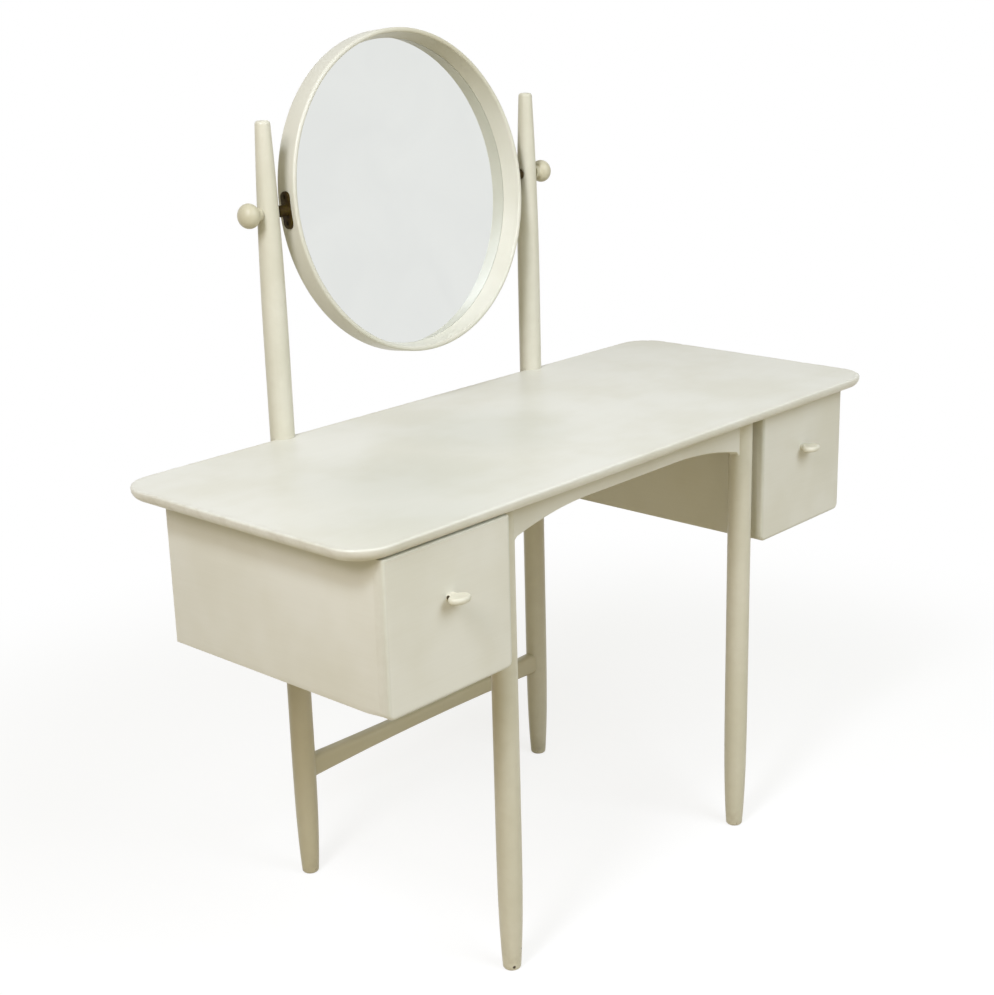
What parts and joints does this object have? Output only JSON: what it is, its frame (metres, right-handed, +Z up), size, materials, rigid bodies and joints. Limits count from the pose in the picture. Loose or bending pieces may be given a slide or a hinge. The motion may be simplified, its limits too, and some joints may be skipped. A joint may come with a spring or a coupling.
{
  "type": "dressing table with mirror",
  "caption": "Painted wooden dressing table with turned legs, an arched apron, drawers hung under a round-cornered top, and a round mirror that tilts between posts on ball knobs.",
  "frame": {"origin": "on the floor, under the middle of the object's outline seen from above", "axes": "+Z up, +X to the right of someone who faces the mirror, +Y to the back"},
  "size_m": [1.1678, 0.552, 1.2927],
  "materials": {
    "ivory_paint": "satin ivory paint, worn at the edges",
    "birch_plywood": "bare",
    "hardboard": "bare",
    "silvered_glass": "polished",
    "dark_bronze": "dark bronzed",
    "zinc_steel": "zinc plated"
  },
  "bodies": {
    "table": {"table_top": "ivory_paint", "front_left_leg": "ivory_paint", "front_right_leg": "ivory_paint", "rear_left_leg": "ivory_paint", "rear_right_leg": "ivory_paint", "front_apron": "ivory_paint", "rear_rail": "ivory_paint", "left_side_rail": "ivory_paint", "right_side_rail": "ivory_paint", "rear_stretcher": "ivory_paint", "left_outer_runner": "ivory_paint", "left_outer_runner_screw_front": "zinc_steel", "left_outer_runner_screw_rear": "zinc_steel", "left_inner_runner": "ivory_paint", "left_inner_runner_screw_front": "zinc_steel", "left_inner_runner_screw_rear": "zinc_steel", "left_rail_screw_front": "zinc_steel", "left_rail_screw_rear": "zinc_steel", "left_post_screw": "zinc_steel", "right_outer_runner": "ivory_paint", "right_outer_runner_screw_front": "zinc_steel", "right_outer_runner_screw_rear": "zinc_steel", "right_inner_runner": "ivory_paint", "right_inner_runner_screw_front": "zinc_steel", "right_inner_runner_screw_rear": "zinc_steel", "right_rail_screw_front": "zinc_steel", "right_rail_screw_rear": "zinc_steel", "right_post_screw": "zinc_steel"},
    "left_drawer": {"left_drawer_front": "ivory_paint", "left_drawer_outer_side": "ivory_paint", "left_drawer_inner_side": "ivory_paint", "left_drawer_back": "ivory_paint", "left_drawer_pull": "ivory_paint", "left_drawer_bottom": "birch_plywood", "left_pull_screw": "zinc_steel"},
    "right_drawer": {"right_drawer_front": "ivory_paint", "right_drawer_outer_side": "ivory_paint", "right_drawer_inner_side": "ivory_paint", "right_drawer_back": "ivory_paint", "right_drawer_pull": "ivory_paint", "right_drawer_bottom": "birch_plywood", "right_pull_screw": "zinc_steel"},
    "mirror": {"mirror_rim": "ivory_paint", "mirror_glass": "silvered_glass", "mirror_backboard": "hardboard", "mirror_back_pin_1": "zinc_steel", "mirror_back_pin_2": "zinc_steel", "mirror_back_pin_3": "zinc_steel", "mirror_back_pin_4": "zinc_steel", "left_pivot_plate": "dark_bronze", "left_plate_screw_lower": "dark_bronze", "left_plate_screw_upper": "dark_bronze", "right_pivot_plate": "dark_bronze", "right_plate_screw_lower": "dark_bronze", "right_plate_screw_upper": "dark_bronze"},
    "left_knob": {"left_knob": "ivory_paint", "left_knob_bolt": "zinc_steel"},
    "right_knob": {"right_knob": "ivory_paint", "right_knob_bolt": "zinc_steel"}
  },
  "joints": [
    {"name": "left_drawer_slide", "type": "slide", "parent": "table", "child": "left_drawer", "axis": [0, -1, 0], "range_m": [-0.0254, 0.3]},
    {"name": "right_drawer_slide", "type": "slide", "parent": "table", "child": "right_drawer", "axis": [0, -1, 0], "range_m": [0, 0.3254]},
    {"name": "mirror_tilt", "type": "hinge", "parent": "table", "child": "mirror", "pos_m": [0, 0.2297, 1.0488], "axis": [1, 0, 0], "continuous": true},
    {"name": "left_knob_turn", "type": "hinge", "parent": "table", "child": "left_knob", "pos_m": [-0.3155, 0.2297, 1.0488], "axis": [-1, 0, 0], "range_deg": [0, 360]},
    {"name": "right_knob_turn", "type": "hinge", "parent": "table", "child": "right_knob", "pos_m": [0.3155, 0.2297, 1.0488], "axis": [1, 0, 0], "range_deg": [0, 360]}
  ]
}
